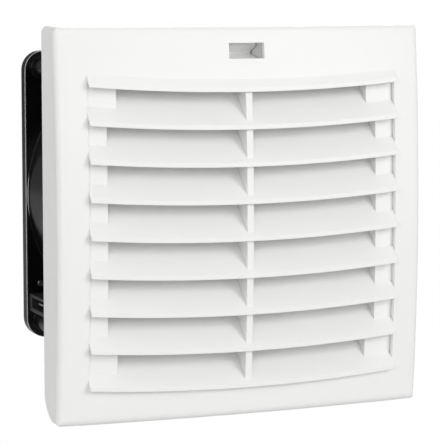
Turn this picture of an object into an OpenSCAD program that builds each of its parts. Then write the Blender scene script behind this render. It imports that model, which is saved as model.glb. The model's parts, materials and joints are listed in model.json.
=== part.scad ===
// Enclosure filter fan: louvre cover on a clip-in base frame, with a 119 mm axial fan behind it.
// Millimetres. X right, front faces -Y, +Z up. The origin is where the duct axis meets the
// mounting plane, which is the outer face of the enclosure wall (y = 0).

/* [Cover] */
// width and height of the cover at the enclosure wall
cover_size = 150; // [146:1:180]
// how far the cover's middle lies below the duct axis
cover_drop = 4; // [3:0.5:5]
// depth of the domed front at its corners
corner_depth = 14.42; // [12.5:0.01:20.5]
// wall thickness of the cover
cover_wall = 2.5; // [1.8:0.1:2.8]
// how far the front domes out between the middle of an edge and its highest point
dome_rise = 3.73; // [2.8:0.01:4.6]
// how much each side draws in from the wall to the front edge
side_draft = 0.6; // [0:0.1:1.5]
// corner radius of the cover's outline
outline_radius = 2.8; // [2:0.1:6]
// rounding of the front edge
front_rounding = 3; // [1:0.1:4]
// gap between the cover's rear edge and the enclosure wall
rear_gap = 0.4; // [0.2:0.1:1]
// radius of the cut-away at the rear lower edge
relief_radius = 12.6; // [11:0.1:14]

/* [Louvres] */
// number of slats
slat_count = 9; // [5:1:9]
// distance of the first lip below the cover's top edge
first_lip_down = 25.2; // [24.5:0.1:28]
// distance of the last lip above the cover's bottom edge
last_lip_up = 12.08; // [11:0.01:14]
// height of a lip's front face
lip_height = 1.65; // [1.2:0.05:2.2]
// how far the lips stand in front of the dome
lip_proud = 2.85; // [2:0.05:4]
// slope of the slats
slat_angle = 43.6; // [38:0.1:48]
// distance from the cover's side to the louvred field
field_margin = 12.2; // [11:0.1:15]
// how far the closed end blocks sit behind the dome
block_depth = 2.25; // [1:0.05:2.4]
// width of the end blocks
block_width = 7.75; // [6:0.05:12]
// width of the end blocks in the first and last row
end_block_width = 11.65; // [9:0.05:16]
// width of the middle rib
rib_width = 2.6; // [2:0.1:5]
// how far the middle rib sits behind the lips
rib_depth = 1.7; // [1:0.1:3]
// distance from the enclosure wall to the rear ends of the slats
grille_back = 6; // [5.5:0.1:8]

/* [Base frame] */
// distance from the cover's side to the collar that goes through the cut-out
collar_margin = 13; // [11.5:0.5:14]
// depth of the collar behind the enclosure wall
collar_depth = 43; // [38:0.5:50]
// wall thickness of the collar
collar_wall = 2.2; // [1.8:0.1:3]
// thickness of the flange
flange_depth = 3; // [2.6:0.1:3.6]
// distance from the cover's side and top to the flange's edge
flange_margin = 4; // [3.5:0.1:4.5]
// distance from the cover's bottom to the flange's lower edge
flange_margin_low = 9.7; // [9.6:0.1:11]
// width of the flange gasket
gasket_width = 2.2; // [1.8:0.1:2.4]
// thickness of the flange gasket
gasket_depth = 1.5; // [1:0.1:1.8]
// distance from the collar's side to the filter mat
mat_margin = 7.5; // [7:0.1:12]
// distance from the collar's top and bottom to the filter mat
mat_margin_high = 4; // [3.5:0.1:12]
// thickness of the filter mat
mat_depth = 12; // [8:0.5:14]
// width of a bar of the guard grid
grid_bar = 1.6; // [1.2:0.1:2.5]
// spacing of the guard grid's bars
grid_pitch = 13.6; // [10:0.1:20]

/* [Hinge] */
// distance of the hinge axis behind the front of the cover's corners
hinge_inset = 4.62; // [4.42:0.01:5.02]
// height of the hinge axis above the cover's bottom edge
hinge_up = 9.2; // [8.6:0.1:9.4]
// diameter of the hinge pins
pin_diameter = 3; // [2.4:0.1:3.4]
// length of the hinge pins
pin_length = 7.2; // [6.5:0.1:8]
// thickness of the hinge ears
ear_width = 3.6; // [3:0.1:4]

/* [Latch] */
// width of the screwdriver slot
slot_width = 14.3; // [12:0.1:18]
// height of the screwdriver slot
slot_height = 5.9; // [5:0.1:6.4]
// distance of the slot's middle below the cover's top edge
slot_down = 9.8; // [9.4:0.1:10.2]
// how far the latch tongue moves down
latch_travel = 2.6; // [2:0.1:3]
// height of the latch hook's grip on the cover
hook_grip = 1.6; // [1.2:0.1:1.8]

/* [Ratchet clips] */
// height of a ratchet clip
clip_height = 14.6; // [10:0.1:18]
// distance of the clips from the duct axis
clip_offset = 32; // [28:0.5:36]
// how far a clip's teeth stand out of the collar
tooth_proud = 1.6; // [1.2:0.1:1.6]
// spacing of the teeth
tooth_pitch = 3.9; // [3:0.1:5]
// number of teeth
tooth_count = 4; // [2:1:4]
// how far a clip moves inwards
clip_travel = 1.7; // [1.2:0.1:1.7]

/* [Fan] */
// distance from the collar's side to the fan frame
fan_inset = 2.5; // [2:0.1:3.5]
// depth of the fan frame
fan_depth = 38; // [32:0.5:40]
// thickness of the fan's flanges
fan_flange = 5.5; // [3.5:0.1:7]
// corner radius of the fan frame
fan_corner = 8; // [5:0.5:10]
// distance from the fan's side to its round duct wall
duct_inset = 0.8; // [0.5:0.1:1.5]
// thickness of the fan's duct wall
duct_wall = 1.9; // [1.6:0.1:2.5]
// distance from the fan's side to its fixing holes
hole_inset = 7.1; // [6.8:0.1:7.5]
// diameter of the fan's fixing holes
hole_diameter = 4.3; // [4.2:0.05:4.6]
// number of blades
blade_count = 7; // [5:1:9]
// distance a blade covers round the axis
blade_sweep = 30; // [22:1:34]
// radius of a blade's curve
blade_curve = 36; // [28:1:60]
// thickness of a blade
blade_thickness = 1.8; // [1.2:0.1:2.5]
// gap between blade tips and duct
tip_gap = 1.4; // [1:0.1:2.5]
// diameter of the rotor cup
rotor_diameter = 63; // [56:0.5:68]
// diameter of the shaft
shaft_diameter = 5; // [4:0.5:6]
// number of struts that carry the motor
strut_count = 4; // [3:1:6]
// diameter of the fan screws
screw_diameter = 4; // [3.5:0.1:4.1]
// diameter of the finger guard's wire
wire_diameter = 2; // [1.6:0.1:2.6]
// number of rings of the finger guard
guard_rings = 5; // [3:1:5]

/* [Hidden] */
$fn = 64;

// shared allowances
over = 1;
fit = 0.1;
play = 0.05;
fuse = 0.5;
facing_front = [90, 0, 0];
facing_back = [-90, 0, 0];
across = [0, 90, 0];
fine = 720;

// colours
cover_grey = [0.93, 0.93, 0.92];
frame_grey = [0.88, 0.88, 0.87];
cast_black = [0.05, 0.05, 0.055];
moulded_black = [0.09, 0.09, 0.1];
steel_grey = [0.66, 0.67, 0.69];
mat_white = [0.86, 0.87, 0.86];
rubber_grey = [0.16, 0.16, 0.17];
copper = [0.62, 0.33, 0.16];
core_grey = [0.4, 0.41, 0.43];
plate_silver = [0.72, 0.73, 0.74];

// sizes that follow from the cover's
cover_half = cover_size / 2;
first_lip = cover_half - first_lip_down;
slat_pitch = (cover_size - first_lip_down - last_lip_up) / (slat_count - 1);
field_width = cover_size - 2 * field_margin;
opening_width = field_width - 2 * block_width;
end_row_width = field_width - 2 * end_block_width;
hinge_below = cover_half - hinge_up;
slot_up = cover_half - slot_down;
flange_width = cover_size - 2 * flange_margin;
flange_top = cover_half - flange_margin;
flange_bottom = cover_half - flange_margin_low;
collar_size = cover_size - 2 * collar_margin;
mat_width = collar_size - 2 * mat_margin;
mat_height = collar_size - 2 * mat_margin_high;
fan_size = collar_size - 2 * fan_inset;
duct_outer = fan_size - 2 * duct_inset;
duct_bore = duct_outer - 2 * duct_wall;
hole_spacing = fan_size - 2 * hole_inset;

// cover
front_half = cover_half - side_draft;
dome_reach = cover_size;
slat_rise = tan(slat_angle);
field_half = field_width / 2;
cheek_outer = field_half + 2 * front_rounding / 2;
last_lip = first_lip - (slat_count - 1) * slat_pitch;
dome_radius = (pow(front_half, 2) + pow(dome_rise, 2)) / (2 * dome_rise);
cover_depth = corner_depth + dome_radius - sqrt(pow(dome_radius, 2) - 2 * pow(front_half, 2));
edge_mid = cover_depth - dome_rise;
edge_mean = edge_mid - dome_rise / 2;
lip_front = cover_depth + lip_proud;
slat_top_limit = slot_up - slot_height / 2 - 2 * cover_wall;
cheek_bottom = hinge_below - 2 * pin_diameter;

// hinge
hinge_z = -cover_drop - hinge_below;
hinge_forward = corner_depth - hinge_inset;
ear_radius = pin_diameter;
pin_outer = cover_half - cover_wall;
pin_inner = pin_outer - pin_length;
boss_length = (pin_length - ear_width) / 2;
ear_outer = pin_outer - boss_length - 4 * fit;

// base frame
collar_half = collar_size / 2;
collar_inner = collar_half - collar_wall;
collar_corner = 2 * collar_wall;
pocket_wall = collar_wall / 2;
pocket_x = mat_width / 2 + 3 * fit;
pocket_z = mat_height / 2 + 2 * fit;
mat_front = flange_depth + 1.6 * pocket_wall;
grid_front = mat_depth - mat_front + fit;
grid_depth = collar_wall;
gasket_inner = collar_half + tooth_proud + 2 * fit;
root_relief = 4 * fit;
boss_radius = screw_diameter + fit;
hole_half = hole_spacing / 2;
inlet_radius = duct_bore / 2;
plenum_back = 2.5 * collar_wall / 2.2;

// latch, heights above the duct axis and distances in front of the wall
latch_z = slot_up - cover_drop;
tongue_half = slot_width / 2 - 2 * fit;
post_width = cover_wall;
tongue_back = mat_front + 6 * fit;
notch_back = tongue_back + 0.32 * cover_wall;
notch_front = notch_back + 2.05 * cover_wall;
keeper_front = notch_front - cover_wall / 2.5;
keeper_depth = 2 * cover_wall / 2.5;
hook_depth = 3.3 * cover_wall / 2.5;
top_inner = cover_half - cover_drop - cover_wall;
hook_top = top_inner - 6 * fit;
keeper_low = hook_top - hook_grip;
behind_hook = keeper_low - 4 * fit;
notch_floor = latch_z - slot_height / 2 - 3 * fit;
notch_ramp = notch_floor + 0.28 * slot_height;
notch_mid = notch_floor + 0.46 * slot_height;
notch_top = notch_floor + 0.8 * slot_height;
tongue_low = notch_floor - 0.45 * cover_wall;
post_low = tongue_low - latch_travel;
post_top = behind_hook - 2 * fit;
post_reach = norm([tongue_half + post_width, post_top + cover_drop]);
shelf_front = cover_depth - cover_wall - dome_radius + sqrt(pow(dome_radius, 2) - pow(post_reach, 2)) - fit;

// ratchet clips
clip_front = 12 * fit;
clip_depth = tooth_count * tooth_pitch;
clip_inner = pocket_x + pocket_wall + clip_travel + 3 * fit;
clip_lip = 1.5 * collar_wall / 2.2;

// fan
fan_front = collar_depth;
fan_back = fan_front + fan_depth;
fan_half = fan_size / 2;
tube_radius = hole_diameter;
motor_disc = rotor_diameter / 2 - 1.5 * shaft_diameter / 5;
disc_back = fan_back - wire_diameter / 2;
disc_depth = 0.8 * shaft_diameter;
strut_width = 2 * blade_thickness;
bearing_radius = 1.3 * shaft_diameter;
bearing_width = 0.8 * shaft_diameter;
tube_outer = bearing_radius + 0.4 * shaft_diameter;
cup_wall = blade_thickness;
cup_front = fan_front + 0.7 * shaft_diameter;
cup_back = disc_back - disc_depth - 0.5 * shaft_diameter;
hub_wall = blade_thickness;
hub_radius = rotor_diameter / 2 + hub_wall;
blade_front = cup_front + blade_thickness / 2;
blade_back = fan_back - fan_flange - blade_thickness / 2;
tip_radius = duct_bore / 2 - tip_gap;
front_bearing_y = cup_front + cup_wall + 0.8 * shaft_diameter;
rear_bearing_y = disc_back - disc_depth - bearing_width / 4;
tube_front = front_bearing_y;
core_front = tube_front + 0.9 * shaft_diameter;
core_back = cup_back - 0.7 * shaft_diameter;
core_radius = rotor_diameter / 2 - cup_wall - 0.2 * shaft_diameter;
winding_depth = 0.6 * shaft_diameter;

groove_depth = 0.08 * shaft_diameter;
groove_width = 0.16 * shaft_diameter;
groove_y = rear_bearing_y + (bearing_width + groove_width) / 2 + play;
plate_depth = play * 6;
guard_y = fan_back + wire_diameter / 2 + play;
head_radius = 0.95 * screw_diameter;
head_depth = 0.55 * screw_diameter;
screw_start = fan_front - 2.4 * screw_diameter;
screw_seat = fan_back + wire_diameter + 2 * play;
block_inset = fan_corner / 8;
block_side = 2.2 * fan_corner;
block_low = -hole_half + tube_radius + fit;
block_top = block_low + 0.9 * fan_corner;
spade_depth = fan_corner / 10;
spade_length = 0.55 * fan_corner;
notch_low = block_low + 0.2 * fan_corner;
notch_high = block_top - 0.15 * fan_corner;
notch_inner = block_inset + spade_length + 2 * spade_depth - fan_half;
notch_start = fan_front + fan_flange + 0.4 * fan_corner;
notch_end = fan_back - fan_flange - 0.4 * fan_corner;
earth_x = 0.75 * fan_corner - fan_half;
earth_z = -0.62 * fan_half;

// solid behind a domed front whose highest point is front away from the wall
module dome(front, radius) {
  translate([0, 0, -cover_drop]) rotate(facing_front) rotate_extrude($fn = 2 * $fn)
    intersection() {
      translate([0, front - radius]) circle(r = radius, $fn = fine);
      square([dome_reach, front]);
    }
}

// flat plate or block with rounded corners, from one depth to another
module rounded_block(width, bottom, top, radius, front, back) {
  hull() for (x = [-width / 2 + radius, width / 2 - radius], z = [bottom + radius, top - radius])
    translate([x, back, z]) rotate(facing_front) cylinder(r = radius, h = back - front, $fn = 32);
}

// bar of square section along X
module block(x0, x1, y0, y1, z0, z1) {
  translate([x0, y0, z0]) cube([x1 - x0, y1 - y0, z1 - z0]);
}

// round bar or bore along Y
module bar_y(radius, y0, y1) {
  translate([0, y0, 0]) rotate(facing_back) cylinder(r = radius, h = y1 - y0);
}

// cover outline that draws in towards the front, inset by the given wall
module drafted_block(inset, front) {
  radius = max(outline_radius - inset, outline_radius / 3);
  lean = side_draft * front / edge_mean;
  translate([0, 0, -cover_drop]) hull()
    for (end = [[0, 0], [front, lean]], sx = [-1, 1], sz = [-1, 1]) {
      place = cover_half - inset - end[1] - radius;
      translate([sx * place, -end[0], sz * place]) rotate(facing_front)
        cylinder(r = radius, h = play, $fn = 48);
    }
}

// ring that rounds the front edge along one side
module edge_rounding() {
  ring = dome_radius - front_rounding;
  side = front_half - front_rounding;
  rise = sqrt(pow(ring, 2) - pow(side, 2));
  sweep = 2 * asin((cover_half + front_rounding) / ring);
  translate([0, dome_radius - cover_depth, 0]) rotate(across)
    rotate([0, 0, -90 - sweep / 2]) rotate_extrude(angle = sweep, $fn = fine)
      difference() {
        translate([rise, side]) square([2 * front_rounding, 2 * front_rounding]);
        translate([rise, side]) circle(r = front_rounding);
      }
}

// height of a slat's lower face at a distance in front of the wall
function slat_low(i, forward) =
  let (lip = first_lip - i * slat_pitch,
       lip_at = lip_front - dome_radius + sqrt(pow(dome_radius, 2) - pow(lip, 2)))
  lip - cover_drop + (lip_at - forward) * slat_rise;

// sloping strip between two slat faces, as seen from the side
module strip(i, low, j, high, half, forward, back) {
  translate([-half, 0, 0]) rotate([90, 0, 90]) linear_extrude(2 * half)
    polygon([[-forward, slat_low(i, forward) + low], [-back, slat_low(i, back) + low],
             [-back, slat_low(j, back) + high], [-forward, slat_low(j, forward) + high]]);
}

module slats() {
  for (i = [0 : slat_count - 1]) intersection() {
    dome(lip_front, dome_radius);
    strip(i, 0, i, lip_height, field_half, lip_front + over, grille_back);
    block(-field_half, field_half, -lip_front, 0, -cover_size, slat_top_limit - cover_drop);
  }
}

// closed ends of the rows and the middle rib
module end_blocks() {
  intersection() {
    dome(cover_depth - block_depth, dome_radius);
    union() {
      for (s = [-1, 1]) scale([s, 1, 1]) {
        block(opening_width / 2, cheek_outer, -cover_depth, -grille_back,
              -cheek_bottom - cover_drop, slat_top_limit - cover_drop);
        intersection() {
          block(end_row_width / 2, field_half, -cover_depth, -grille_back, -cover_half - cover_drop,
                slat_top_limit - cover_drop);
          union() {
            strip(1, lip_height / 2, 0, lip_height / 2, field_half, cover_depth, grille_back);
            strip(slat_count - 1, lip_height / 2, slat_count - 2, lip_height / 2, field_half, cover_depth,
                  grille_back);
          }
        }
      }
    }
  }
  intersection() {
    dome(lip_front - rib_depth, dome_radius);
    block(-rib_width / 2, rib_width / 2, -lip_front, -grille_back, -cover_size,
          slat_top_limit - cover_drop);
    strip(slat_count - 1, lip_height / 2, 0, lip_height / 2, field_half, lip_front, grille_back);
  }
}

module louvre_cover() {
  color(cover_grey) difference() {
    union() {
      difference() {
        intersection() {
          drafted_block(0, cover_depth);
          dome(cover_depth, dome_radius);
        }
        intersection() {
          drafted_block(cover_wall, cover_depth);
          translate([0, over, 0]) dome(cover_depth - cover_wall + over, dome_radius);
        }
        translate([0, 0, -cover_drop]) for (turn = [0 : 90 : 270]) rotate([0, turn, 0]) edge_rounding();
        strip(slat_count - 1, lip_height / 2, 0, lip_height / 2, field_half, lip_front, grille_back);
        block(-slot_width / 2, slot_width / 2, -cover_depth - over, -cover_wall,
              latch_z - slot_height / 2, latch_z + slot_height / 2);
      }
      slats();
      end_blocks();
      block(-tongue_half + cover_wall, tongue_half - cover_wall, -keeper_front, keeper_depth - keeper_front,
            keeper_low, top_inner + fuse);
      for (s = [-1, 1]) translate([s * (pin_outer + fuse - (boss_length + fuse) / 2), -hinge_forward, hinge_z])
        rotate(across) cylinder(r = ear_radius, h = boss_length + fuse, center = true);
    }
    for (s = [-1, 1]) translate([s * (pin_outer - boss_length), -hinge_forward, hinge_z])
      rotate(across) cylinder(d = pin_diameter, h = 2 * boss_length, center = true);
    block(-cover_size, cover_size, -rear_gap, over, -cover_size, cover_size);
    block(-pin_outer, pin_outer, -hinge_forward, over, -cover_size, -cover_drop - cover_half + 1.2 * cover_wall);
    difference() {
      block(-cover_size, cover_size, -relief_radius, over, -cover_size, -cover_drop - cover_half + outline_radius
            + relief_radius - cover_wall / 2);
      translate([-cover_size, -relief_radius, -cover_drop - cover_half + relief_radius + cover_wall / 2])
        rotate(across) cylinder(r = relief_radius, h = 2 * cover_size, $fn = 128);
    }
  }
}

module hinge_pin(side) {
  color(steel_grey) translate([side * (pin_inner + pin_length / 2), -hinge_forward, hinge_z])
    rotate(across) cylinder(d = pin_diameter, h = pin_length, center = true);
}

module latch_tongue() {
  color(frame_grey) union() {
    translate([-tongue_half, 0, 0]) rotate([90, 0, 90]) linear_extrude(2 * tongue_half)
      polygon([[-shelf_front, tongue_low], [-shelf_front, notch_floor], [-notch_back, notch_ramp],
               [-notch_back, notch_mid], [-notch_front, notch_top], [-notch_front, behind_hook],
               [-tongue_back, behind_hook], [-tongue_back, tongue_low]]);
    translate([-tongue_half, 0, 0]) rotate([90, 0, 90]) linear_extrude(2 * tongue_half)
      polygon([[-notch_front, behind_hook - fuse], [-keeper_front - hook_depth, behind_hook - fuse / 2],
               [-keeper_front - hook_depth, keeper_low], [-keeper_front - hook_depth / 2, hook_top],
               [-keeper_front - 2 * fit, hook_top], [-keeper_front - 2 * fit, behind_hook - fuse]]);
  }
}

// guide posts on both sides of the tongue
module latch_posts() {
  for (s = [-1, 1]) scale([s, 1, 1]) {
    block(tongue_half + 2 * fit, tongue_half + post_width, -shelf_front, -tongue_back, post_low, post_top);
    block(tongue_half + 2 * fit, tongue_half + post_width, -shelf_front, -flange_depth + fuse,
          collar_inner + fit, post_top);
  }
  block(-tongue_half - post_width, tongue_half + post_width, -tongue_back + 2 * fit, -flange_depth + fuse,
        collar_inner + fit, post_top);
}

module hinge_ears() {
  for (s = [-1, 1]) translate([s * (ear_outer - ear_width / 2), 0, 0]) difference() {
    union() {
      translate([0, -hinge_forward, hinge_z]) rotate(across)
        cylinder(r = ear_radius, h = ear_width, center = true);
      block(-ear_width / 2, ear_width / 2, -hinge_forward, -flange_depth + fuse,
            max(hinge_z - ear_radius, -flange_bottom - cover_drop), hinge_z + ear_radius);
    }
    translate([0, -hinge_forward, hinge_z]) rotate(across)
      cylinder(r = pin_diameter / 2 + play, h = 2 * ear_width, center = true);
  }
}

module base_frame() {
  color(frame_grey) difference() {
    union() {
      difference() {
        union() {
          rounded_block(flange_width, -flange_bottom - cover_drop, flange_top - cover_drop,
                        outline_radius, -flange_depth, 0);
          rounded_block(collar_size, -collar_half, collar_half, collar_corner, -flange_depth / 2, collar_depth);
        }
        rounded_block(2 * collar_inner, -collar_inner, collar_inner, collar_corner / 2, -root_relief,
                      collar_depth - plenum_back);
        block(-pocket_x, pocket_x, -flange_depth - over, over, -pocket_z, pocket_z);
      }
      for (x = [-hole_half, hole_half], z = [-hole_half, hole_half]) translate([x, 0, z])
        bar_y(boss_radius, screw_start - over, collar_depth - fuse);
      latch_posts();
      hinge_ears();
    }
    bar_y(inlet_radius, collar_depth - plenum_back - over, collar_depth + over);
    for (x = [-hole_half, hole_half], z = [-hole_half, hole_half]) translate([x, 0, z])
      bar_y(screw_diameter / 2 + play, screw_start - 2 * over, collar_depth + over);
    gasket_ring(play, over);
    difference() {
      rounded_block(2 * gasket_inner, -gasket_inner, gasket_inner, collar_corner, -root_relief, over / 2);
      rounded_block(collar_size, -collar_half, collar_half, collar_corner, -flange_depth, over);
    }
    for (s = [-1, 1], z = [-clip_offset, clip_offset]) scale([s, 1, 1])
      block(collar_inner - fuse, collar_half + over, clip_front - fit, clip_front + clip_depth + fit,
            z - clip_height / 2 - fit, z + clip_height / 2 + fit);
  }
}

// tray with the guard grid, behind the flange inside the collar
module filter_tray() {
  columns = ceil(2 * pocket_x / grid_pitch);
  rows = ceil(2 * pocket_z / grid_pitch);
  step_x = (2 * pocket_x + grid_bar) / columns;
  step_z = (2 * pocket_z + grid_bar) / rows;
  color(frame_grey) difference() {
    block(-pocket_x - pocket_wall, pocket_x + pocket_wall, -root_relief, grid_front + grid_depth,
          -collar_inner, collar_inner);
    block(-pocket_x, pocket_x, -over, grid_front, -pocket_z, pocket_z);
    for (i = [0 : columns - 1], k = [0 : rows - 1])
      translate([i * step_x - pocket_x, 0, k * step_z - pocket_z])
        block(0, step_x - grid_bar, 0, collar_depth, 0, step_z - grid_bar);
  }
}

module gasket_ring(grow, back) {
  difference() {
    rounded_block(2 * (gasket_inner + gasket_width + grow), -gasket_inner - gasket_width - grow,
                  gasket_inner + gasket_width + grow, collar_corner + gasket_width, -gasket_depth, back);
    rounded_block(2 * (gasket_inner - grow), grow - gasket_inner, gasket_inner - grow, collar_corner,
                  -gasket_depth - over, back + over);
  }
}

module flange_gasket() {
  color(rubber_grey) gasket_ring(0, 0);
}

module filter_mat() {
  color(mat_white) block(-mat_width / 2, mat_width / 2, -mat_front, mat_depth - mat_front,
                         -mat_height / 2, mat_height / 2);
}

// clip on the right side of the collar, its middle at the given height
module ratchet_clip(side, z) {
  color(frame_grey) scale([side, 1, 1]) union() {
    block(clip_inner, collar_inner - fit, clip_front - clip_lip / 2, clip_front + clip_depth + clip_lip,
          z - clip_height / 2 - clip_lip, z + clip_height / 2 + clip_lip);
    translate([0, clip_front, z - clip_height / 2]) linear_extrude(clip_height)
      polygon(concat([[clip_inner + fit, 0]],
        [for (i = [0 : tooth_count - 1], k = [0, 1])
          [k == 0 ? collar_half + tooth_proud : collar_half - fit, (i + k) * tooth_pitch]],
        [[clip_inner + fit, clip_depth]]));
  }
}

module ratchet_clip_upper_left() { ratchet_clip(-1, clip_offset); }
module ratchet_clip_lower_left() { ratchet_clip(-1, -clip_offset); }
module ratchet_clip_upper_right() { ratchet_clip(1, clip_offset); }
module ratchet_clip_lower_right() { ratchet_clip(1, -clip_offset); }
module hinge_pin_left() { hinge_pin(-1); }
module hinge_pin_right() { hinge_pin(1); }

module fan_frame() {
  color(cast_black) difference() {
    union() {
      rounded_block(fan_size, -fan_half, fan_half, fan_corner, fan_front, fan_front + fan_flange);
      rounded_block(fan_size, -fan_half, fan_half, fan_corner, fan_back - fan_flange, fan_back);
      bar_y(duct_outer / 2, fan_front, fan_back);
      for (x = [-hole_half, hole_half], z = [-hole_half, hole_half]) translate([x, 0, z])
        bar_y(tube_radius, fan_front, fan_back);
    }
    difference() {
      bar_y(duct_bore / 2, fan_front - over, fan_back + over);
      bar_y(motor_disc, disc_back - disc_depth, disc_back);
      for (i = [0 : strut_count - 1]) rotate([0, (i + 1 / 2) * 360 / strut_count, 0])
        block(motor_disc / 2, duct_bore / 2 + fuse, disc_back - disc_depth, disc_back - fuse,
              -strut_width / 2, strut_width / 2);
      bar_y(tube_outer, tube_front, disc_back);
    }
    bar_y(bearing_radius, tube_front - over, tube_front + bearing_width);
    bar_y(bearing_radius, rear_bearing_y - bearing_width / 2, fan_back + over);
    bar_y(bearing_radius - play * 20, tube_front, fan_back);
    for (x = [-hole_half, hole_half], z = [-hole_half, hole_half]) translate([x, 0, z])
      bar_y(hole_diameter / 2, fan_front - over, fan_back + over);
    translate([earth_x, 0, earth_z]) bar_y(screw_diameter / 3 + play, fan_back - fan_flange - over, fan_back + over);
  }
}

module fan_screws() {
  color(steel_grey) for (x = [-hole_half, hole_half], z = [-hole_half, hole_half]) translate([x, 0, z])
    difference() {
      union() {
        bar_y(screw_diameter / 2, screw_start, screw_seat + fuse);
        bar_y(head_radius, screw_seat, screw_seat + head_depth);
      }
      for (turn = [0, 90]) rotate([0, turn, 0])
        block(-head_radius / 2, head_radius / 2, screw_seat + head_depth / 2, screw_seat + head_depth + over,
              -head_radius / 8, head_radius / 8);
    }
}

module finger_guard() {
  step = (fan_half - 2 * wire_diameter) / (guard_rings + 1 / 2);
  arm = hole_half * sqrt(2) - head_radius;
  color(steel_grey) union() {
    for (i = [1 : guard_rings]) translate([0, guard_y, 0]) rotate(facing_back) rotate_extrude($fn = 96)
      translate([i * step, 0]) circle(d = wire_diameter, $fn = 24);
    for (turn = [45 : 90 : 315]) rotate([0, turn, 0]) {
      translate([step / 2, guard_y, 0]) rotate(across) cylinder(d = wire_diameter, h = arm - step / 2, $fn = 24);
      translate([hole_half * sqrt(2), guard_y, 0]) rotate(facing_back) rotate_extrude()
        translate([head_radius - wire_diameter / 4, 0]) circle(d = wire_diameter, $fn = 24);
    }
  }
}

// one blade: a curved sheet that leans across the duct
module blade() {
  depth = blade_back - blade_front;
  half_chord = sqrt(pow(depth, 2) + pow(blade_sweep, 2)) / 2;
  off = sqrt(pow(blade_curve, 2) - pow(half_chord, 2)) / (2 * half_chord);
  intersection() {
    block(0, tip_radius, blade_front, blade_back, -blade_sweep / 2, blade_sweep / 2);
    difference() {
      bar_y(tip_radius, blade_front, blade_back);
      bar_y(hub_radius - hub_wall / 2, blade_front - over, blade_back + over);
    }
    translate([0, (blade_front + blade_back) / 2 + off * blade_sweep, -off * depth]) rotate(across)
      difference() {
        cylinder(r = blade_curve + blade_thickness / 2, h = tip_radius, $fn = 128);
        translate([0, 0, -over]) cylinder(r = blade_curve - blade_thickness / 2, h = tip_radius + 2 * over, $fn = 128);
      }
  }
}

module impeller() {
  color(moulded_black) union() {
    difference() {
      bar_y(hub_radius, cup_front, cup_back);
      bar_y(rotor_diameter / 2, cup_front - over, cup_back + over);
    }
    for (i = [0 : blade_count - 1]) rotate([0, i * 360 / blade_count, 0]) blade();
  }
}

module rotor_cup() {
  color(cast_black) difference() {
    bar_y(rotor_diameter / 2, cup_front, cup_back);
    difference() {
      bar_y(rotor_diameter / 2 - cup_wall, cup_front + cup_wall, cup_back + over);
      bar_y(shaft_diameter, cup_front, front_bearing_y - 0.2 * shaft_diameter);
    }
    bar_y(shaft_diameter / 2, cup_front + cup_wall / 2, cup_back);
  }
}

module shaft() {
  color(steel_grey) difference() {
    bar_y(shaft_diameter / 2, cup_front + cup_wall / 2, groove_y + 2 * groove_width);
    difference() {
      bar_y(shaft_diameter, groove_y - groove_width / 2, groove_y + groove_width / 2);
      bar_y(shaft_diameter / 2 - groove_depth, groove_y - groove_width, groove_y + groove_width);
    }
  }
}

module bearing(y0) {
  color(steel_grey) difference() {
    bar_y(bearing_radius, y0, y0 + bearing_width);
    bar_y(shaft_diameter / 2 + play, y0 - over, y0 + bearing_width + over);
    for (side = [-1, 1]) translate([0, y0 + bearing_width / 2 + side * bearing_width / 2, 0]) difference() {
      bar_y(bearing_radius - groove_depth * 3, -groove_depth, groove_depth);
      bar_y(shaft_diameter / 2 + groove_depth * 3, -2 * groove_depth, 2 * groove_depth);
    }
  }
}

module front_bearing() { bearing(tube_front); }
module rear_bearing() { bearing(rear_bearing_y - bearing_width / 2); }

module circlip() {
  color(steel_grey) translate([0, groove_y, 0]) difference() {
    bar_y(shaft_diameter * 0.8, play - groove_width / 2, groove_width / 2 - play);
    bar_y(shaft_diameter / 2 - groove_depth, -groove_width, groove_width);
    block(-shaft_diameter / 4, shaft_diameter / 4, -groove_width, groove_width, -shaft_diameter, 0);
  }
}

module stator_core() {
  color(core_grey) difference() {
    bar_y(core_radius, core_front + winding_depth, core_back - winding_depth);
    bar_y(tube_outer, core_front, core_back);
    for (i = [0 : strut_count - 1]) rotate([0, i * 360 / strut_count, 0])
      block(core_radius - 0.7 * shaft_diameter, core_radius + over, core_front, core_back,
            -groove_width, groove_width);
  }
}

module winding(y0) {
  color(copper) difference() {
    bar_y(core_radius - 0.8 * shaft_diameter, y0, y0 + winding_depth);
    bar_y(tube_outer + 0.2 * shaft_diameter, y0 - over, y0 + winding_depth + over);
  }
}

module front_winding() { winding(core_front); }
module rear_winding() { winding(core_back - winding_depth); }

module rating_plate() {
  color(plate_silver) difference() {
    bar_y(motor_disc - shaft_diameter / 2, disc_back, disc_back + plate_depth);
    bar_y(bearing_radius + groove_width, disc_back - over, disc_back + plate_depth + over);
  }
}

// housing in the lower left corner between the fan's flanges
module terminal_block() {
  color(moulded_black) difference() {
    block(block_inset - fan_half, block_side - fan_half, fan_front + fan_flange, fan_back - fan_flange,
          block_low, block_top);
    bar_y(duct_outer / 2, fan_front, fan_back);
    block(-fan_half, notch_inner, notch_start, notch_end, notch_low, notch_high);
  }
}

module spade_terminals() {
  gap = (notch_end - notch_start) / 3;
  color(steel_grey) for (k = [1, 2])
    block(notch_inner - spade_length, notch_inner, notch_start + (k - 1 / 2) * gap, notch_start + (k + 1 / 3) * gap,
          (notch_low + notch_high - spade_depth) / 2, (notch_low + notch_high + spade_depth) / 2);
}

module earth_screw() {
  color(steel_grey) translate([earth_x, 0, earth_z]) union() {
    bar_y(screw_diameter / 3, fan_back - fan_flange, fan_back + fuse);
    bar_y(screw_diameter * 0.7, fan_back, fan_back + head_depth);
  }
}

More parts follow.
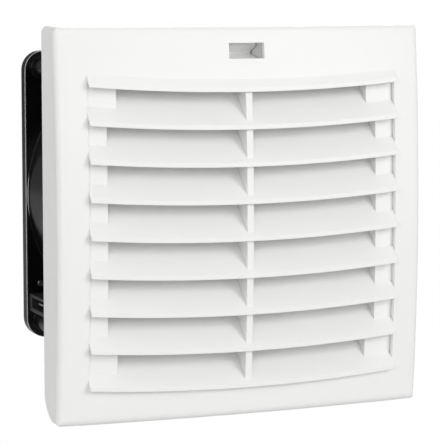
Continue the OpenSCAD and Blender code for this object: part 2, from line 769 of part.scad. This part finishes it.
louvre_cover();
hinge_pin_left();
hinge_pin_right();
latch_tongue();
base_frame();
filter_tray();
flange_gasket();
filter_mat();
ratchet_clip_upper_left();
ratchet_clip_lower_left();
ratchet_clip_upper_right();
ratchet_clip_lower_right();
fan_frame();
fan_screws();
finger_guard();
impeller();
rotor_cup();
shaft();
front_bearing();
rear_bearing();
circlip();
stator_core();
front_winding();
rear_winding();
rating_plate();
terminal_block();
spade_terminals();
earth_screw();
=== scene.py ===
# %% [markdown]
# # Enclosure filter fan
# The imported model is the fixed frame: every length is in metres, X points right, the louvre
# cover faces -Y and Z points up. The origin is where the duct axis meets the enclosure wall.
# The steps below give each piece its real finish, and leave its size and place alone.

# %% Load the frame
import bpy
import json
import math
from mathutils import Matrix, Vector


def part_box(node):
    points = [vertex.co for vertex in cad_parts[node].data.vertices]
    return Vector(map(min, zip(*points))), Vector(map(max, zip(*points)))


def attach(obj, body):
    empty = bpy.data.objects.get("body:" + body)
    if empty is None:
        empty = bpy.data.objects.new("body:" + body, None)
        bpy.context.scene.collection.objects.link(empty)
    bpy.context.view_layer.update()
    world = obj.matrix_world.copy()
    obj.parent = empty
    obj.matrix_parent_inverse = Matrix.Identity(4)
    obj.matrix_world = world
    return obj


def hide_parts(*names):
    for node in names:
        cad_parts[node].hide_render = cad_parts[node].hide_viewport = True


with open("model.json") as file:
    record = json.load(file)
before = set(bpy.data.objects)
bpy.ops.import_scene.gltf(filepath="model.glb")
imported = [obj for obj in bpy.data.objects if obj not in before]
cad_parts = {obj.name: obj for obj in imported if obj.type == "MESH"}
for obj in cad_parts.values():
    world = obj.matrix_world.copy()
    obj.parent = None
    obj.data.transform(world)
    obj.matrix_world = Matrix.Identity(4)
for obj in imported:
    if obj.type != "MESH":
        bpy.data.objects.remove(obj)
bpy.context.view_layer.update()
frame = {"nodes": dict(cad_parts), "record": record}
nodes = frame["nodes"]
bodies = {node: body
          for body, held in frame["record"]["behaviour"]["bodies"].items() for node in held}

# %% [markdown]
# ## Camera
# A camera can be placed by eye, but then edges drift by several pixels. Here the place, the
# turn and the lens come from a fit to points of the photograph, taken as 441 by 444. The
# camera stands 79 cm from the origin, a little to the left and above. The small downward
# shift keeps upright edges nearly upright, as in the photograph.

# %% Camera
camera_place = (-0.29236, -0.72927, 0.08215)
camera_turn = [math.radians(v) for v in (84.856, 0.080, -21.637)]
bpy.ops.object.camera_add(location=camera_place, rotation=camera_turn)
camera = bpy.context.object
camera.data.sensor_fit = "HORIZONTAL"
camera.data.sensor_width = 36
camera.data.lens = 165.88
camera.data.shift_y = -0.1
camera.data.clip_start = 0.01
camera.data.dof.use_dof = False
bpy.context.scene.camera = camera
print("camera at", [round(v, 4) for v in camera.location])

# %% [markdown]
# ## Light, world and floor
# The photograph is a product shot on plain white. The side of the black fan mirrors a white
# backdrop, while its front is pure black. An even white world would turn both grey, so glossy
# surfaces see a studio that is white to the sides, and dark in front of and behind the object.
# Everything else gets soft grey light from the world, and only the camera sees it plain white.
# The floor lies well below, because the fan hangs in a wall and stands on nothing.

# %% Node helpers
white = (1, 1, 1, 1)


def add_node(tree, kind, values=None, links=None, **settings):
    """Adds a node with its settings, and fills its inputs with values or with links."""
    made = tree.nodes.new(kind)
    for name, setting in settings.items():
        setattr(made, name, setting)
    for socket, value in (values or {}).items():
        made.inputs[socket].default_value = value
    for socket, source in (links or {}).items():
        tree.links.new(source, made.inputs[socket])
    return made


def either(tree, ray, usual, special):
    """Gives one kind of ray a shader of its own, and all other rays the usual one."""
    both = add_node(tree, "ShaderNodeMixShader", links={"Fac": ray, 1: usual, 2: special})
    return both.outputs["Shader"]


# %% World
# Both ramps go by the Y of the direction that a reflection looks in: the first one from dark
# in front to white at the side, the second one from white at the side to dim behind.
front_ramp = {"From Min": -0.75, "From Max": -0.25, "To Min": 0.08, "To Max": 1.0}
back_ramp = {"From Min": 0.6, "From Max": 0.88, "To Min": 1.0, "To Max": 0.18}
room_colour, room_strength = (1.0, 1.0, 0.99, 1), 0.44
studio_colour = (0.8, 0.8, 0.8, 1)

scene = bpy.context.scene
scene.view_settings.view_transform = "Standard"
world = bpy.data.worlds.new("studio")
scene.world = world
world.use_nodes = True
tree = world.node_tree
tree.nodes.clear()
path = add_node(tree, "ShaderNodeLightPath")
look = add_node(tree, "ShaderNodeTexCoord")
axes = add_node(tree, "ShaderNodeSeparateXYZ", links={"Vector": look.outputs["Generated"]})
ramps = [add_node(tree, "ShaderNodeMapRange", values, {"Value": axes.outputs["Y"]})
         for values in (front_ramp, back_ramp)]
studio = add_node(tree, "ShaderNodeMath", operation="MULTIPLY",
                  links={k: ramp.outputs["Result"] for k, ramp in enumerate(ramps)})
room = add_node(tree, "ShaderNodeBackground", {"Color": room_colour, "Strength": room_strength})
mirrored = add_node(tree, "ShaderNodeBackground", {"Color": studio_colour},
                    {"Strength": studio.outputs["Value"]})
seen = add_node(tree, "ShaderNodeBackground", {"Color": white})
by_gloss = either(tree, path.outputs["Is Glossy Ray"], room.outputs["Background"],
                  mirrored.outputs["Background"])
by_camera = either(tree, path.outputs["Is Camera Ray"], by_gloss, seen.outputs["Background"])
add_node(tree, "ShaderNodeOutputWorld", links={"Surface": by_camera})
print("world of", len(tree.nodes), "nodes, room light", room_strength)


# %% Lamps
def lamp(name, place, target, size, power):
    """Adds a soft square lamp that points at a spot."""
    bpy.ops.object.light_add(type="AREA", location=place)
    light = bpy.context.object
    light.name = name
    light.data.shape = "SQUARE"
    light.data.size = size
    light.data.energy = power
    aim = Vector(target) - Vector(place)
    light.rotation_euler = aim.to_track_quat("-Z", "Y").to_euler()
    print(name, "lamp,", power, "W, from", round(aim.length, 2), "m")


lamp("key", (0.56, -1.11, 0.43), (0, 0, 0), 0.6, 6.25)
lamp("fill", (-0.63, -1.09, 0.31), (0, 0, 0), 0.6, 3.25)
lamp("side", (-1.2, -0.1, 0.5), (0, 0, 0), 0.7, 3.0)
lamp("back", (0.5, 1.2, 0.7), (0, 0.06, 0), 0.7, 7.0)

# %% Floor
floor_width, floor_height, floor_tone = 12, -0.45, 0.66
bpy.ops.mesh.primitive_plane_add(size=floor_width, location=(0, 0, floor_height))
floor = bpy.context.object
floor.name = "floor"
floor_white = bpy.data.materials.new("floor_white")
floor_white.use_nodes = True
tree = floor_white.node_tree
tree.nodes.clear()
path = add_node(tree, "ShaderNodeLightPath")
paint = add_node(tree, "ShaderNodeBsdfDiffuse",
                 {"Color": (floor_tone, floor_tone, floor_tone, 1)})
glow = add_node(tree, "ShaderNodeEmission", {"Color": white})
by_camera = either(tree, path.outputs["Is Camera Ray"], paint.outputs["BSDF"],
                   glow.outputs["Emission"])
add_node(tree, "ShaderNodeOutputMaterial", links={"Surface": by_camera})
floor.data.materials.append(floor_white)
print("floor", floor_width, "m wide, at", floor_height, "m")


# %% [markdown]
# ## Materials
# A flat colour looks like a drawing, so one helper builds a surface from nodes: a fine grain
# in its bump and its roughness, a slow change of colour, and an edge that the Bevel node
# rounds, because moulded and cast edges are never sharp. Painted textures could do the same,
# but noise on the object's own coordinates needs no picture and keeps its scale on each piece.

# %% Ramp helpers
def grey(tone):
    """A grey as a colour."""
    return (tone, tone, tone, 1)


def ramp_colour(tree, source, stops):
    """Turns a number into a colour, by stops of a place and a colour from low to high."""
    ramp = add_node(tree, "ShaderNodeValToRGB", links={"Fac": source})
    elements = ramp.color_ramp.elements
    for element, (place, colour) in zip(elements, (stops[0], stops[-1])):
        element.position, element.color = place, colour
    for place, colour in stops[1:-1]:
        elements.new(place).color = colour
    return ramp.outputs["Color"]


# %% Material helper
patch_scale, patch_low, patch_high = 22, 0.3, 0.7
rough_span, bump_strength = 0.06, 0.6


def material(name, colour, rough, metal=0.0, grain=1400, depth=0.00002, vary=0.03, edge=0.0002,
             stretch=(1, 1, 1), coat=0.0, level=0.5):
    """Principled surface with grain, slow colour change and rounded edges."""
    mat = bpy.data.materials.new(name)
    mat.use_nodes = True
    tree = mat.node_tree
    shader = tree.nodes["Principled BSDF"]
    shader.inputs["Metallic"].default_value = metal
    shader.inputs["Coat Weight"].default_value = coat
    shader.inputs["Specular IOR Level"].default_value = level
    place = add_node(tree, "ShaderNodeTexCoord").outputs["Object"]
    scale = add_node(tree, "ShaderNodeMapping", {"Scale": stretch}, {"Vector": place})
    fine = add_node(tree, "ShaderNodeTexNoise", {"Scale": grain, "Detail": 4},
                    {"Vector": scale.outputs["Vector"]}).outputs["Fac"]
    slow = add_node(tree, "ShaderNodeTexNoise", {"Scale": patch_scale, "Detail": 3},
                    {"Vector": place}).outputs["Fac"]
    darker = [c * (1 - vary) for c in colour] + [1]
    lighter = [min(1, c * (1 + vary / 3)) for c in colour] + [1]
    patches = ramp_colour(tree, slow, ((patch_low, darker), (patch_high, lighter)))
    tree.links.new(patches, shader.inputs["Base Color"])
    span = add_node(tree, "ShaderNodeMapRange",
                    {"To Min": rough - rough_span, "To Max": rough + rough_span}, {"Value": fine})
    tree.links.new(span.outputs["Result"], shader.inputs["Roughness"])
    bump = add_node(tree, "ShaderNodeBump", {"Distance": depth, "Strength": bump_strength},
                    {"Height": fine})
    if edge:
        soft = add_node(tree, "ShaderNodeBevel", {"Radius": edge}, samples=6)
        tree.links.new(soft.outputs["Normal"], bump.inputs["Normal"])
    tree.links.new(bump.outputs["Normal"], shader.inputs["Normal"])
    return mat


# %% [markdown]
# ## Sheets, painted crevice shade, a painted rim highlight and a painted slat glow
# Four finishes are added to the plain ones. The stator is a stack of sheets, whose edges show
# as even lines. Shade is painted into narrow gaps of the moulded plastics: ambient occlusion
# finds them without any drawing, and the base colour is darkened there. On the fan's glossy
# paint, a pale line along the outer edge of its flange is a painted highlight, lightened into the
# colour.
# That edge is found by two tests: the place is close to the flange's rounded outline, and the
# normal is between the face and the side. A faint glow is painted on the cover's sloping slats,
# for light that comes through thin plastic, as true see-through plastic would take far more
# samples.

# %% Stacked sheets
# A Mix node has inputs for numbers, vectors and colours. These are the ones for colours.
mix_share, mix_below, mix_above, mix_result = 0, 6, 7, 2
# At scale 1 the Wave texture repeats after this length in metres.
wave_length = 0.31416


def lay_over(tree, blend, values, links):
    """Lays another colour over the base colour that a material has."""
    base = tree.nodes["Principled BSDF"].inputs["Base Color"]
    mixed = add_node(tree, "ShaderNodeMix", values,
                     {mix_below: base.links[0].from_socket, **links},
                     data_type="RGBA", blend_type=blend)
    tree.links.new(mixed.outputs[mix_result], base)


def stacked_sheets(mat, spacing, depth, shade):
    """Adds the fine even lines of sheets that are stacked along Y."""
    tree = mat.node_tree
    place = tree.nodes["Texture Coordinate"].outputs["Object"]
    wave = add_node(tree, "ShaderNodeTexWave", {"Scale": wave_length / spacing},
                    {"Vector": place}, bands_direction="Y").outputs["Fac"]
    lines = add_node(tree, "ShaderNodeBump", {"Distance": depth},
                     {"Height": wave, "Normal": tree.nodes["Bump"].outputs["Normal"]})
    tree.links.new(lines.outputs["Normal"], tree.nodes["Principled BSDF"].inputs["Normal"])
    tone = ramp_colour(tree, wave, ((0, grey(shade)), (1, grey(1))))
    lay_over(tree, "MULTIPLY", {mix_share: 1.0}, {mix_above: tone})


# %% Painted crevice shade
closed_in, open_side = 0.25, 0.58


def painted_crevice_shade(mat, reach, shade):
    """Paints shade into narrow gaps and pockets of a material, by darkening its colour where
    ambient occlusion is low.
    """
    tree = mat.node_tree
    hollow = add_node(tree, "ShaderNodeAmbientOcclusion", {"Distance": reach}, samples=8)
    tone = ramp_colour(tree, hollow.outputs["AO"],
                       ((closed_in, grey(shade)), (open_side, grey(1))))
    lay_over(tree, "MULTIPLY", {mix_share: 1.0}, {mix_above: tone})


# %% Painted highlight on the flange's edge
flange_half, flange_corner = 0.0595, 0.008
rim_band, rim_fade = 0.0014, 0.0004
# A rounded edge's normal goes from the side, where its Y is 0, to the face, where it is 1.
edge_stops = ((0.06, grey(0)), (0.25, grey(1)), (0.7, grey(1)), (0.9, grey(0)))


def painted_rim_highlight(mat, radius, shade):
    """Paints a highlight on the outer edge of the fan's square flange, by lightening its base
    colour.
    """
    tree = mat.node_tree
    # The distance from a block through the centres of the flange's round corners. The block
    # reaches 1 m along Y, further than the fan, so that Y counts for nothing.
    block = flange_half - flange_corner
    spot = tree.nodes["Texture Coordinate"].outputs["Object"]
    for step, amount in (("ABSOLUTE", {}), ("SUBTRACT", {1: (block, 1, block)}),
                         ("MAXIMUM", {1: (0, 0, 0)}), ("LENGTH", {})):
        vector = add_node(tree, "ShaderNodeVectorMath", amount, {0: spot}, operation=step)
        spot = vector.outputs["Value" if step == "LENGTH" else "Vector"]
    start = flange_corner - rim_band
    outer = add_node(tree, "ShaderNodeMapRange",
                     {"From Min": start, "From Max": start + rim_fade}, {"Value": spot})
    wide = add_node(tree, "ShaderNodeBevel", {"Radius": radius}, samples=8)
    parts = add_node(tree, "ShaderNodeSeparateXYZ", links={"Vector": wide.outputs["Normal"]})
    facing = add_node(tree, "ShaderNodeMath", links={0: parts.outputs["Y"]},
                      operation="ABSOLUTE")
    band = ramp_colour(tree, facing.outputs["Value"], edge_stops)
    both = add_node(tree, "ShaderNodeMath", links={0: band, 1: outer.outputs["Result"]},
                    operation="MULTIPLY")
    lay_over(tree, "MIX", {mix_above: grey(shade)}, {mix_share: both.outputs["Value"]})


# %% Painted slat glow
warm_white = (1, 1, 0.98, 1)
# The Z of a slat's normal is 0.7. Upright faces have 0, and level ones 1.
slat_stops = ((0.25, grey(0)), (0.4, warm_white), (0.9, warm_white), (0.97, grey(0)))


def painted_slat_glow(mat, strength):
    """Paints a faint glow of light on faces that slope up, standing in for light that comes
    through thin plastic.
    """
    tree = mat.node_tree
    shader = tree.nodes["Principled BSDF"]
    parts = add_node(tree, "ShaderNodeSeparateXYZ",
                     links={"Vector": tree.nodes["Texture Coordinate"].outputs["Normal"]})
    glow = ramp_colour(tree, parts.outputs["Z"], slat_stops)
    tree.links.new(glow, shader.inputs["Emission Color"])
    shader.inputs["Emission Strength"].default_value = strength


# %% [markdown]
# ## Plastics, paints and metals
# The cover and the frame are a pale grey styrene with a fine satin grain. The fan is die-cast
# metal under glossy black paint, the motor parts are bright, blackened or stacked steel, and
# the copper shows through its enamel. One material could serve all metals, but their tint,
# grain and gloss differ, and the same metal everywhere would look dull.

# %% Plastics
cover_plastic = material("cover_plastic", (0.95, 0.95, 0.94), 0.42, grain=1800, vary=0.01,
                         edge=0.00015)
frame_plastic = material("frame_plastic", (0.86, 0.86, 0.85), 0.45, grain=1600, vary=0.015)
latch_plastic = material("latch_plastic", (0.93, 0.93, 0.92), 0.4, grain=1600, vary=0.015)
blade_plastic = material("blade_plastic", (0.02, 0.02, 0.022), 0.36, grain=1500, vary=0.1)
block_plastic = material("block_plastic", (0.02, 0.02, 0.021), 0.4, grain=1300, vary=0.1)
rubber = material("rubber", (0.02, 0.02, 0.021), 0.8, grain=2500, depth=0.0001, vary=0.15)
# Painted shade: the plastics' colour is darkened in narrow gaps and pockets.
painted_crevice_shade(cover_plastic, reach=0.0012, shade=0.15)
painted_crevice_shade(frame_plastic, reach=0.0012, shade=0.3)
painted_crevice_shade(latch_plastic, reach=0.0008, shade=0.08)
# Painted light: a faint glow on the cover's sloping slats.
painted_slat_glow(cover_plastic, strength=0.012)
# Painted light: the latch tongue glows a little by emission, which brightens it in its slot.
latch_painted_glow = 0.05
latch_shader = latch_plastic.node_tree.nodes["Principled BSDF"]
latch_shader.inputs["Emission Color"].default_value = warm_white
latch_shader.inputs["Emission Strength"].default_value = latch_painted_glow
print("cover plastic of", len(cover_plastic.node_tree.nodes), "nodes")

# %% Paints and metals
fan_paint = material("fan_paint", (0.004, 0.004, 0.0045), 0.2, grain=600, vary=0.2, edge=0.0006,
                     level=0.25)
# Painted highlight: a pale line in the colour of the flange's outer edge.
painted_rim_highlight(fan_paint, radius=0.0009, shade=0.9)
rotor_paint = material("rotor_paint", (0.012, 0.012, 0.013), 0.4, grain=900, depth=0.00003,
                       vary=0.2)
zinc = material("zinc", (0.62, 0.63, 0.65), 0.28, metal=1, grain=700, vary=0.08)
pin_steel = material("pin_steel", (0.55, 0.56, 0.58), 0.25, metal=1, grain=600,
                     stretch=(0.1, 1, 1))
wire = material("wire", (0.72, 0.73, 0.75), 0.16, metal=1, grain=500, vary=0.05)
bearing_steel = material("bearing_steel", (0.5, 0.51, 0.53), 0.2, metal=1, grain=500)
spring_steel = material("spring_steel", (0.12, 0.12, 0.13), 0.35, metal=1, grain=700)
core_steel = material("core_steel", (0.3, 0.3, 0.31), 0.5, metal=1, grain=400)
stacked_sheets(core_steel, spacing=0.0005, depth=0.0001, shade=0.45)
copper = material("copper", (0.5, 0.2, 0.07), 0.3, grain=500, stretch=(0.2, 5, 0.2), coat=0.4,
                  edge=0)
plate = material("plate", (0.68, 0.69, 0.7), 0.3, metal=1, grain=1200, stretch=(0.03, 1, 1))
brass = material("brass", (0.66, 0.62, 0.5), 0.25, metal=1, grain=700)
print(len(bpy.data.materials), "materials so far")

# %% [markdown]
# ## Fleece
# The filter mat is a needled fleece: white fibres that lie in all directions, looser on the
# dusty side. Real strands could be grown as hair, but there would be far too many of them.
# Three noises, each stretched along another direction, look like crossing fibres at this size.

# %% Fleece
# Each layer of fibres has its own turn about Y and its own fineness.
fibre_layers = ((0.3, 1500), (1.35, 1300), (2.4, 1700))
tip_x, tip_z = 0.2, 0.1
fibre_stretch, fibre_height, fleece_sheen = (0.06, 0.6, 1), 0.0006, 0.3
fleece = material("fleece", (0.8, 0.81, 0.8), 0.95, grain=900, depth=0.0004, vary=0.08, edge=0)
tree = fleece.node_tree
shader, place = tree.nodes["Principled BSDF"], tree.nodes["Texture Coordinate"].outputs["Object"]
heights = []
for turn, size in fibre_layers:
    lie = add_node(tree, "ShaderNodeMapping",
                   {"Rotation": (tip_x, turn, tip_z), "Scale": fibre_stretch}, {"Vector": place})
    strands = add_node(tree, "ShaderNodeTexNoise", {"Scale": size, "Detail": 2},
                       {"Vector": lie.outputs["Vector"]})
    heights.append(strands.outputs["Fac"])
top = heights[0]
for height in heights[1:]:
    most = add_node(tree, "ShaderNodeMath", links={0: top, 1: height}, operation="MAXIMUM")
    top = most.outputs["Value"]
fibres = add_node(tree, "ShaderNodeBump", {"Distance": fibre_height},
                  {"Height": top, "Normal": tree.nodes["Bump"].outputs["Normal"]})
tree.links.new(fibres.outputs["Normal"], shader.inputs["Normal"])
shader.inputs["Sheen Weight"].default_value = fleece_sheen
print("fleece of", len(heights), "layers of fibres")


# %% [markdown]
# ## Smooth copies of the solids
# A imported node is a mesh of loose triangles, which is left alone. Light could be rounded on it
# by the material only, but its outline would stay sharp. So a copy has the triangles merged,
# flat faces joined and every hard edge rounded by a narrow bevel, as tools and moulds leave it.
# The copy then stands for the node and rides on the same body.

# %% Copy helpers
merge_reach, flat_angle = 0.000004, 0.1


def alone(piece):
    """Makes a piece the only selected one, and the active one."""
    bpy.ops.object.select_all(action="DESELECT")
    piece.select_set(True)
    bpy.context.view_layer.objects.active = piece


def settle(piece, node, mat):
    """Gives a finished piece its material and body, and hides the node that it stands for."""
    piece.data.materials.clear()
    piece.data.materials.append(mat)
    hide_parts(node)
    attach(piece, bodies[node])
    print(piece.name, len(piece.data.polygons), "faces")


def smooth_copy(node, mat, radius, segments=2, limit=40):
    """Stands for a node with a merged copy whose edges are rounded."""
    piece = bpy.data.objects.new(node + "_finish", nodes[node].data.copy())
    scene.collection.objects.link(piece)
    alone(piece)
    bpy.ops.mesh.customdata_custom_splitnormals_clear()
    bpy.ops.object.mode_set(mode="EDIT")
    bpy.ops.mesh.select_all(action="SELECT")
    bpy.ops.mesh.remove_doubles(threshold=merge_reach)
    bpy.ops.mesh.dissolve_limited(angle_limit=math.radians(flat_angle))
    bpy.ops.object.mode_set(mode="OBJECT")
    rounding = piece.modifiers.new("rounding", "BEVEL")
    rounding.width = radius
    rounding.segments = segments
    rounding.limit_method = "ANGLE"
    rounding.angle_limit = math.radians(limit)
    rounding.use_clamp_overlap = True
    rounding.harden_normals = True
    bpy.ops.object.shade_smooth_by_angle(angle=math.radians(limit))
    bpy.ops.object.modifier_apply(modifier="rounding")
    settle(piece, node, mat)


# %% Copies
smooth_copy("fan_frame", fan_paint, radius=0.0005, segments=3, limit=35)
smooth_copy("rotor_cup", rotor_paint, radius=0.0006, segments=3)
for node, finish, radius in (("impeller", blade_plastic, 0.0003),
                             ("terminal_block", block_plastic, 0.0004),
                             ("fan_screws", zinc, 0.0003),
                             ("earth_screw", zinc, 0.0002),
                             ("shaft", pin_steel, 0.0003),
                             ("front_bearing", bearing_steel, 0.0002),
                             ("rear_bearing", bearing_steel, 0.0002),
                             ("hinge_pin_left", pin_steel, 0.0003),
                             ("hinge_pin_right", pin_steel, 0.0003),
                             ("spade_terminals", brass, 0.0001),
                             ("latch_tongue", latch_plastic, 0.0002),
                             ("ratchet_clip_upper_left", frame_plastic, 0.0002),
                             ("ratchet_clip_lower_left", frame_plastic, 0.0002),
                             ("ratchet_clip_upper_right", frame_plastic, 0.0002),
                             ("ratchet_clip_lower_right", frame_plastic, 0.0002)):
    smooth_copy(node, finish, radius)

# %% [markdown]
# ## Pieces that keep their own mesh
# The cover, the base frame and the tray have many thin edges close together, where a real
# bevel has little room, so the Bevel node in their plastic rounds only the light on them. The
# wires, the circlip, the sheets of the core and the plate have their form already.

# %% Pieces that keep their own mesh
for node, finish in (("louvre_cover", cover_plastic), ("base_frame", frame_plastic),
                     ("filter_tray", frame_plastic), ("finger_guard", wire),
                     ("circlip", spring_steel), ("stator_core", core_steel),
                     ("rating_plate", plate)):
    nodes[node].data.materials.clear()
    nodes[node].data.materials.append(finish)
    print(node, "in", finish.name)

# %% [markdown]
# ## Filter mat
# The real mat is a 12 mm panel cut from a roll of fleece. Its faces are a little cushioned and
# its cut edges pull in. A cloth simulation could puff it up, but the mat is stiff and held all
# round, so a box is bevelled, divided finely and pushed about by a soft noise instead.

# %% Filter mat
side_room, face_room, edge_pull = 0.0006, 0.0008, 0.0022
lump_size, lump_height = 0.006, 0.0006
low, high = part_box("filter_mat")
size, middle = high - low, (low + high) / 2
bpy.ops.object.select_all(action="DESELECT")
bpy.ops.mesh.primitive_cube_add(size=1, location=middle)
mat_piece = bpy.context.object
mat_piece.name = "filter_mat_fleece"
mat_piece.scale = (size.x - side_room, size.y - face_room, size.z - side_room)
bpy.ops.object.transform_apply(location=True, rotation=True, scale=True)
bpy.ops.object.mode_set(mode="EDIT")
bpy.ops.mesh.select_all(action="SELECT")
bpy.ops.mesh.bevel(offset=edge_pull, segments=4, affect="EDGES")
bpy.ops.mesh.select_all(action="SELECT")
bpy.ops.mesh.subdivide(number_cuts=12)
bpy.ops.object.mode_set(mode="OBJECT")
cloud = bpy.data.textures.new("fleece_cloud", "CLOUDS")
cloud.noise_scale = lump_size
swell = mat_piece.modifiers.new("swell", "DISPLACE")
swell.texture = cloud
swell.texture_coords = "LOCAL"
swell.strength = lump_height
swell.mid_level = 0.6
bpy.ops.object.modifier_apply(modifier="swell")
bpy.ops.object.shade_smooth()
settle(mat_piece, "filter_mat", fleece)

# %% [markdown]
# ## Flange gasket
# The seal behind the flange is a foam cord in a groove. A curve with a round section could be
# drawn along it, but the solid has that path already. A merged copy of it gets a wide bevel, so
# that its section is nearly round at the outside.

# %% Flange gasket
smooth_copy("flange_gasket", rubber, radius=0.0005, segments=3)

# %% [markdown]
# ## Windings
# Each side of the motor shows the ends of four coils of enamelled wire. Every turn could be a
# thin tube of its own, but the rotor hides most of them. So the outline of one bundle,
# scalloped by its wires, is spun through the arc that a coil covers, and its two ends are drawn
# in. Each coil is made by the same steps at its own angle, and has its own mesh. The ends are
# found by their angle, which starts again at 0 inside the first coil. So that coil's own ends
# stay open, and it has faces to spare where it passes 0. Both are inside the rotor.

# %% Bundle helpers
def pick(piece, chosen):
    """Selects the vertices that pass a test, and nothing else."""
    bpy.ops.object.mode_set(mode="EDIT")
    bpy.ops.mesh.select_all(action="DESELECT")
    bpy.ops.object.mode_set(mode="OBJECT")
    for v in piece.data.vertices:
        v.select = chosen(v.co)
    bpy.ops.object.mode_set(mode="EDIT")


def turn_of(co):
    """The angle of a point about the duct axis, from 0 to a full turn."""
    return math.atan2(-co.z, co.x) % (2 * math.pi)


def fuller(value, power):
    """Pulls a sine or cosine towards 1, so that a round outline becomes squarer."""
    return math.copysign(abs(value) ** power, value)


# %% Bundle outline
wires_along, wires_across, points_per_groove = 11, 3, 6
groove_depth, side_grooves = 0.05, 2.2
round_out, round_side = 0.55, 0.7


def bundle_outline(name, mid, half_r, half_y, start):
    """The closed outline of a bundle of wires, at the angle where the bundle starts."""
    grooves = 2 * (wires_along + wires_across)
    points = grooves * points_per_groove
    bpy.ops.object.select_all(action="DESELECT")
    bpy.ops.mesh.primitive_circle_add(vertices=points, radius=1, location=(0, 0, 0))
    piece = bpy.context.object
    piece.name = name
    for k, v in enumerate(piece.data.vertices):
        a = 2 * math.pi * k / points
        dip = groove_depth * math.cos(a * grooves / 2) ** 2
        x = fuller(math.cos(a), round_out) * half_r * (1 - dip)
        y = fuller(math.sin(a), round_side) * half_y * (1 - side_grooves * dip)
        v.co = Matrix.Rotation(start, 3, "Y") @ (mid + Vector((x, y, 0)))
    return piece


# %% Coil bundle
# Each step at an end goes on by a length, and shrinks the outline to a share of itself.
end_steps = ((0.0007, 0.93), (0.0005, 0.8), (0.0002, 0.5))
arc_steps, end_reach, bundle_merge = 20, 0.002, 0.00001


def coil_bundle(name, inner, outer, y0, y1, start, sweep):
    """A bundle of wires that runs along an arc about the duct axis, with its ends drawn in."""
    mid = Vector(((inner + outer) / 2, (y0 + y1) / 2, 0))
    piece = bundle_outline(name, mid, (outer - inner) / 2, (y1 - y0) / 2, start)
    bpy.ops.object.mode_set(mode="EDIT")
    bpy.ops.mesh.select_all(action="SELECT")
    bpy.ops.mesh.spin(steps=arc_steps, angle=sweep, center=(0, 0, 0), axis=(0, 1, 0))
    bpy.ops.object.mode_set(mode="OBJECT")
    angles = sorted({round(turn_of(v.co), 4) for v in piece.data.vertices})
    for end, way in ((angles[0], -1), (angles[-1], 1)):
        pick(piece, lambda co: abs(turn_of(co) - end) < end_reach)
        along = Matrix.Rotation(end, 3, "Y") @ Vector((0, 0, -way))
        heart = Matrix.Rotation(end, 3, "Y") @ mid
        for step, share in end_steps:
            heart = heart + along * step
            bpy.ops.mesh.extrude_region_move(TRANSFORM_OT_translate={"value": along * step})
            bpy.ops.transform.resize(value=(share, share, share), center_override=heart)
        bpy.ops.mesh.edge_face_add()
        bpy.ops.object.mode_set(mode="OBJECT")
    bpy.ops.object.mode_set(mode="EDIT")
    bpy.ops.mesh.select_all(action="SELECT")
    bpy.ops.mesh.remove_doubles(threshold=bundle_merge)
    bpy.ops.mesh.normals_make_consistent(inside=False)
    bpy.ops.object.mode_set(mode="OBJECT")
    return piece


# %% Windings
coil_starts, coil_arc, wire_angle = (7, 97, 187, 277), 76, 60
coil_inner, gap_out, gap_side = 0.0097, 0.0001, 0.00005
for node in ("front_winding", "rear_winding"):
    low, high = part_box(node)
    coils = [coil_bundle(node + "_coil_" + str(k), coil_inner, high.x - gap_out,
                         low.y + gap_side, high.y - gap_side, math.radians(start),
                         math.radians(coil_arc)) for k, start in enumerate(coil_starts)]
    alone(coils[0])
    for coil in coils:
        coil.select_set(True)
    bpy.ops.object.join()
    coils[0].name = node + "_coils"
    bpy.ops.object.shade_smooth_by_angle(angle=math.radians(wire_angle))
    settle(coils[0], node, copper)
